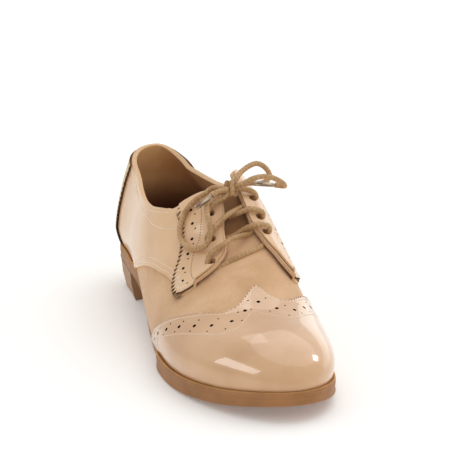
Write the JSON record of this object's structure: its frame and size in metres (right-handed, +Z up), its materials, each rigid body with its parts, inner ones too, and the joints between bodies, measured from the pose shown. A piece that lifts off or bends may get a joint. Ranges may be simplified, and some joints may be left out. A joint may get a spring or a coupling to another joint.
{
  "type": "women's wing-tip lace-up shoe",
  "caption": "Low-heeled women's lace-up shoe with a pinked and punched wing tip, open lacing with a tied bow, stitched welt and low block heel; right foot.",
  "frame": {"origin": "centre of the heel's flat underside, on the floor", "axes": "+Z up, -Z is the heel's resting face; +Y runs from the toe back to the heel along the shoe's length; +X is the inner (big toe) side of this right shoe"},
  "size_m": [0.0784, 0.2611, 0.0906],
  "materials": {
    "patent_leather": "beige patent leather, high gloss",
    "suede": "beige matte nubuck",
    "sole_rubber": "brown moulded rubber, satin",
    "heel_rubber": "brown moulded rubber, satin",
    "lining": "tan lining leather, matte",
    "grained_leather": "cream and gold grained leather, satin",
    "waxed_cord": "olive-tan waxed cotton cord",
    "aglet_plastic": "clear tan plastic"
  },
  "bodies": {
    "root": {"outsole": "sole_rubber", "welt": "sole_rubber", "heel": "heel_rubber", "insole": "lining", "upper": "patent_leather", "toe_cap": "patent_leather", "heel_counter": "grained_leather", "facing_outer": "patent_leather", "facing_inner": "patent_leather", "tongue": "suede", "lace_crossings": "waxed_cord", "lace_knot": "waxed_cord", "lace_loop_outer": "waxed_cord", "lace_loop_inner": "waxed_cord", "lace_end_outer": "waxed_cord", "lace_end_inner": "waxed_cord", "aglet_outer": "aglet_plastic", "aglet_inner": "aglet_plastic"}
  },
  "joints": []
}
